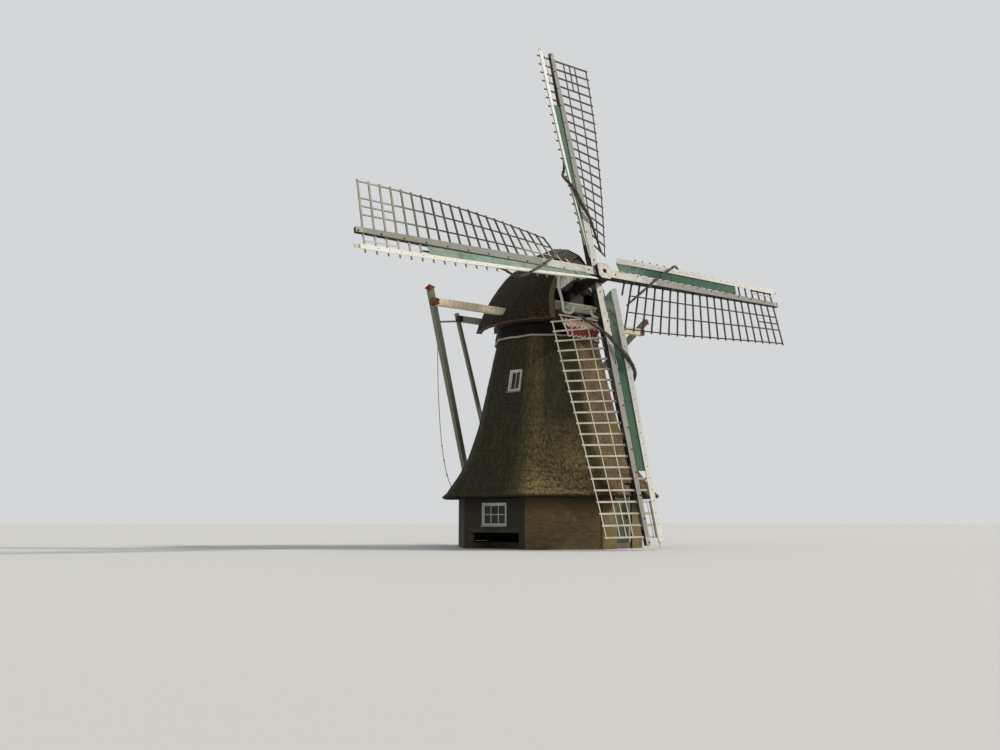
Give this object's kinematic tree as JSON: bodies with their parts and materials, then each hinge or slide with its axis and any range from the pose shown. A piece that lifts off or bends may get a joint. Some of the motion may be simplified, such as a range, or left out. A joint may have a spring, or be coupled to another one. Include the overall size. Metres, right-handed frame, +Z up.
{
  "type": "thatched smock windmill",
  "caption": "Thatched octagonal drainage windmill: brick base, thatched smock, turning cap with tail pole and braces, and latticed sails on crossing stocks with windboards and furled cloths.",
  "frame": {"origin": "on the ground at the tower's axis", "axes": "+Z up along the tower's axis; the sails stand in front of the tower at -Y and the tail hangs behind it at +Y"},
  "size_m": [19.1886, 11.4641, 18.7286],
  "materials": {
    "brick": "mottled yellow-brown brick, weathered",
    "floor_brick": "worn brick paving",
    "lintel": "pale weathered timber",
    "door_frame_white": "white gloss paint, chalked",
    "door_green": "dark green paint on boards",
    "window_white": "white paint",
    "window_glass": "clear window glass",
    "thatch": "weathered reed thatch with moss",
    "post_oak": "dark oak",
    "curb_oak": "dark greased oak",
    "curb_dark": "dark tarred boards",
    "trim_pale": "pale grey paint",
    "beam_cream": "cream paint, ends painted red-brown",
    "beam_grey": "grey paint",
    "bearing_stone": "hard bearing stone on oak",
    "cap_boards": "grey-green paint",
    "barge_white": "white paint",
    "beard_red": "dark red paint with a white edge",
    "tail_green": "sage grey-green paint",
    "cap_red": "red paint",
    "lever_grey": "weathered grey timber",
    "rope": "hemp rope",
    "winch_wood": "worn timber",
    "stock_grey": "light grey paint on riveted steel",
    "lattice_cream": "cream-white paint",
    "edge_white": "white paint",
    "board_green": "teal-green paint",
    "sailcloth": "dark tanned sailcloth",
    "shaft_iron": "painted cast iron"
  },
  "bodies": {
    "tower": {"base_walls_with_openings": "brick", "base_walls_plain": "brick", "outlet_lintel": "lintel", "floor": "floor_brick", "door_frames": "door_frame_white", "window_frames": "window_white", "window_glass": "window_glass", "smock_thatch_with_openings": "thatch", "smock_thatch_plain": "thatch", "corner_posts": "post_oak", "curb_ring": "curb_oak", "curb_trim": "trim_pale", "curb_boarding": "curb_dark"},
    "front_door": {"front_door": "door_green"},
    "back_door": {"back_door": "door_green"},
    "cap": {"cap_ring": "curb_oak", "sheers": "post_oak", "weather_beam": "beam_grey", "long_cross_beam": "beam_cream", "short_cross_beam": "beam_grey", "shaft_bearings": "bearing_stone", "cap_thatch_front_right": "thatch", "cap_thatch_front_left": "thatch", "cap_thatch_back_right": "thatch", "cap_thatch_back_left": "thatch", "ridge_boards": "curb_dark", "front_boards": "cap_boards", "back_boards": "cap_boards", "bargeboards": "barge_white", "beard": "beard_red", "tail_pole": "tail_green", "long_braces": "tail_green", "short_braces": "tail_green", "brace_caps": "cap_red", "brake_lever": "lever_grey", "brake_rope": "rope", "winding_winch": "winch_wood"},
    "sails": {"sail_lattice_1": "lattice_cream", "sail_lattice_2": "lattice_cream", "sail_lattice_3": "lattice_cream", "sail_lattice_4": "lattice_cream", "leading_edges": "edge_white", "windboards": "board_green", "furled_sails": "sailcloth", "inner_stock": "stock_grey", "outer_stock": "stock_grey", "windshaft": "shaft_iron"}
  },
  "joints": [
    {"name": "cap_yaw", "type": "hinge", "parent": "tower", "child": "cap", "pos_m": [0, 0, 7.93], "axis": [0, 0, 1], "continuous": true},
    {"name": "sail_turn", "type": "hinge", "parent": "cap", "child": "sails", "pos_m": [0, -2.9, 9.43001], "axis": [0, -0.9715, 0.2368], "continuous": true},
    {"name": "front_door_hinge", "type": "hinge", "parent": "tower", "child": "front_door", "pos_m": [0.54577, -2.89567, 1.1], "axis": [0, 0, 1], "range_deg": [0, 95]},
    {"name": "back_door_hinge", "type": "hinge", "parent": "tower", "child": "back_door", "pos_m": [-0.54577, 2.89567, 1.1], "axis": [0, 0, 1], "range_deg": [0, 95]}
  ]
}
